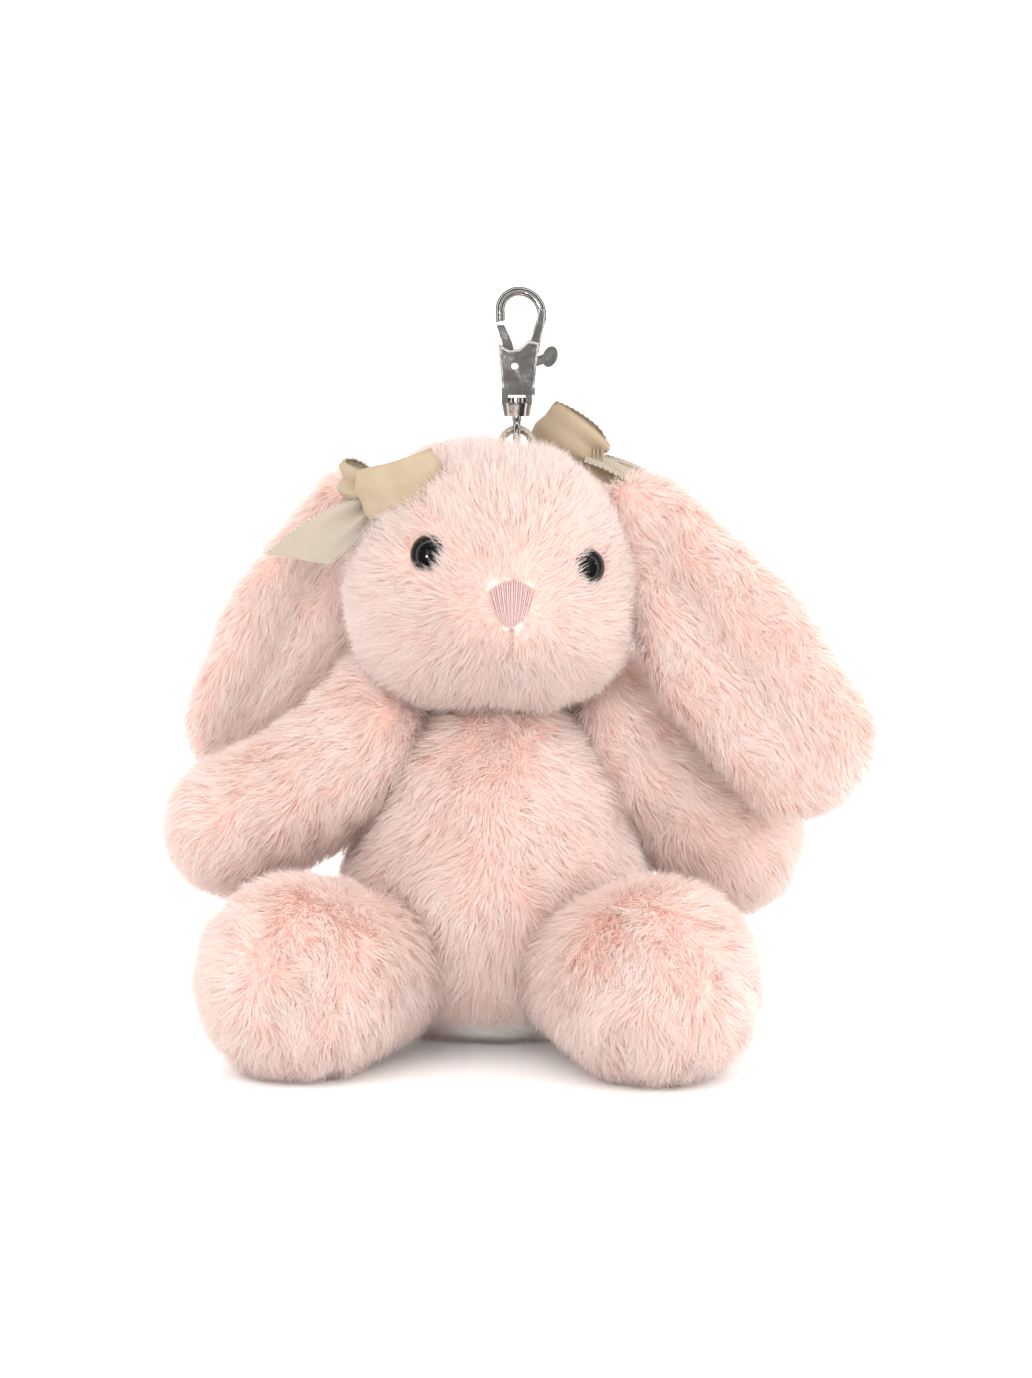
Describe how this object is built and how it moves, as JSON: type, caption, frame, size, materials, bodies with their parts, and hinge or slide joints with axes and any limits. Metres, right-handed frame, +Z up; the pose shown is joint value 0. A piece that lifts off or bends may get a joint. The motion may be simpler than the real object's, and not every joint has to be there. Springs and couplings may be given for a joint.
{
  "type": "plush keychain",
  "caption": "Sitting plush bunny bag charm with lop ears and ribbon bows, hung by a ribbon loop from a swivel snap clasp with a sprung trigger.",
  "frame": {"origin": "centre of the flat seat under the torso", "axes": "+Z up, the bunny faces -Y, +X is the viewer's right when facing it"},
  "size_m": [0.1361, 0.0985, 0.1495],
  "materials": {
    "plush": "dense short pile faux fur, pale pink",
    "stuffing": "polyester fibre fill",
    "ribbon": "cream velvet ribbon with a satin back",
    "thread": "satin-stitched embroidery thread, dusty pink",
    "eye": "polished black",
    "washer": "moulded natural plastic",
    "nickel": "bright nickel plate over cast zinc",
    "spring_steel": "drawn spring wire"
  },
  "bodies": {
    "torso": {"torso_cover": "plush", "torso_stuffing": "stuffing", "tail_cover": "plush", "tail_stuffing": "stuffing"},
    "head": {"head_cover": "plush", "head_stuffing": "stuffing", "eye_left": "eye", "eye_right": "eye", "eye_washer_left": "washer", "eye_washer_right": "washer", "nose_stitching": "thread", "mouth_stitch": "thread", "bow_left_loops": "ribbon", "bow_left_knot": "ribbon", "bow_left_tail": "ribbon", "bow_right_loops": "ribbon", "bow_right_knot": "ribbon", "bow_right_tail": "ribbon"},
    "ear_left": {"ear_left_front": "plush", "ear_left_back": "plush"},
    "ear_right": {"ear_right_front": "plush", "ear_right_back": "plush"},
    "arm_left": {"arm_left_cover": "plush", "arm_left_stuffing": "stuffing"},
    "arm_right": {"arm_right_cover": "plush", "arm_right_stuffing": "stuffing"},
    "leg_left": {"leg_left_cover": "plush", "leg_left_stuffing": "stuffing"},
    "leg_right": {"leg_right_cover": "plush", "leg_right_stuffing": "stuffing"},
    "loop": {"hang_loop": "ribbon"},
    "eye_ring": {"swivel_eye": "nickel"},
    "clasp": {"clasp_frame": "nickel", "clasp_rivet": "nickel", "trigger_spring": "spring_steel"},
    "trigger": {"clasp_trigger": "nickel"}
  },
  "joints": [
    {"name": "head_nod", "type": "hinge", "parent": "torso", "child": "head", "pos_m": [0, 0, 0.064], "axis": [1, 0, 0], "range_deg": [-6, 10], "stiffness_Nm_per_rad": 0.06},
    {"name": "ear_left_lift", "type": "hinge", "parent": "head", "child": "ear_left", "pos_m": [-0.0275, 0.005, 0.1035], "axis": [0.0845, 0.9832, 0.1616], "range_deg": [0, 75]},
    {"name": "ear_right_lift", "type": "hinge", "parent": "head", "child": "ear_right", "pos_m": [0.029, -0.004, 0.1025], "axis": [-0.1117, -0.9821, 0.1514], "range_deg": [0, 75]},
    {"name": "arm_left_raise", "type": "hinge", "parent": "torso", "child": "arm_left", "pos_m": [-0.0235, -0.002, 0.057], "axis": [0, 1, 0], "range_deg": [0, 45], "stiffness_Nm_per_rad": 0.02},
    {"name": "arm_right_raise", "type": "hinge", "parent": "torso", "child": "arm_right", "pos_m": [0.024, 0.004, 0.0565], "axis": [0, -1, 0], "range_deg": [0, 45], "stiffness_Nm_per_rad": 0.02},
    {"name": "leg_left_raise", "type": "hinge", "parent": "torso", "child": "leg_left", "pos_m": [-0.022, -0.02, 0.017], "axis": [-0.7295, 0.6839, 0], "range_deg": [0, 25], "stiffness_Nm_per_rad": 0.03},
    {"name": "leg_right_raise", "type": "hinge", "parent": "torso", "child": "leg_right", "pos_m": [0.018, -0.0235, 0.017], "axis": [-0.7971, -0.6039, 0], "range_deg": [0, 25], "stiffness_Nm_per_rad": 0.03},
    {"name": "loop_flop", "type": "hinge", "parent": "head", "child": "loop", "pos_m": [0.0042, 0, 0.1145], "axis": [1, 0, 0], "range_deg": [-6, 18]},
    {"name": "ring_swing", "type": "hinge", "parent": "loop", "child": "eye_ring", "pos_m": [0.0042, 0, 0.1184], "axis": [0, 1, 0], "range_deg": [-60, 60]},
    {"name": "clasp_swivel", "type": "hinge", "parent": "eye_ring", "child": "clasp", "pos_m": [0.0042, 0, 0.1253], "axis": [0, 0, 1], "continuous": true},
    {"name": "trigger_press", "type": "hinge", "parent": "clasp", "child": "trigger", "pos_m": [0.0038, 0, 0.1338], "axis": [0, 1, 0], "range_deg": [0, 22], "stiffness_Nm_per_rad": 0.01, "springref_deg": -20.05}
  ]
}
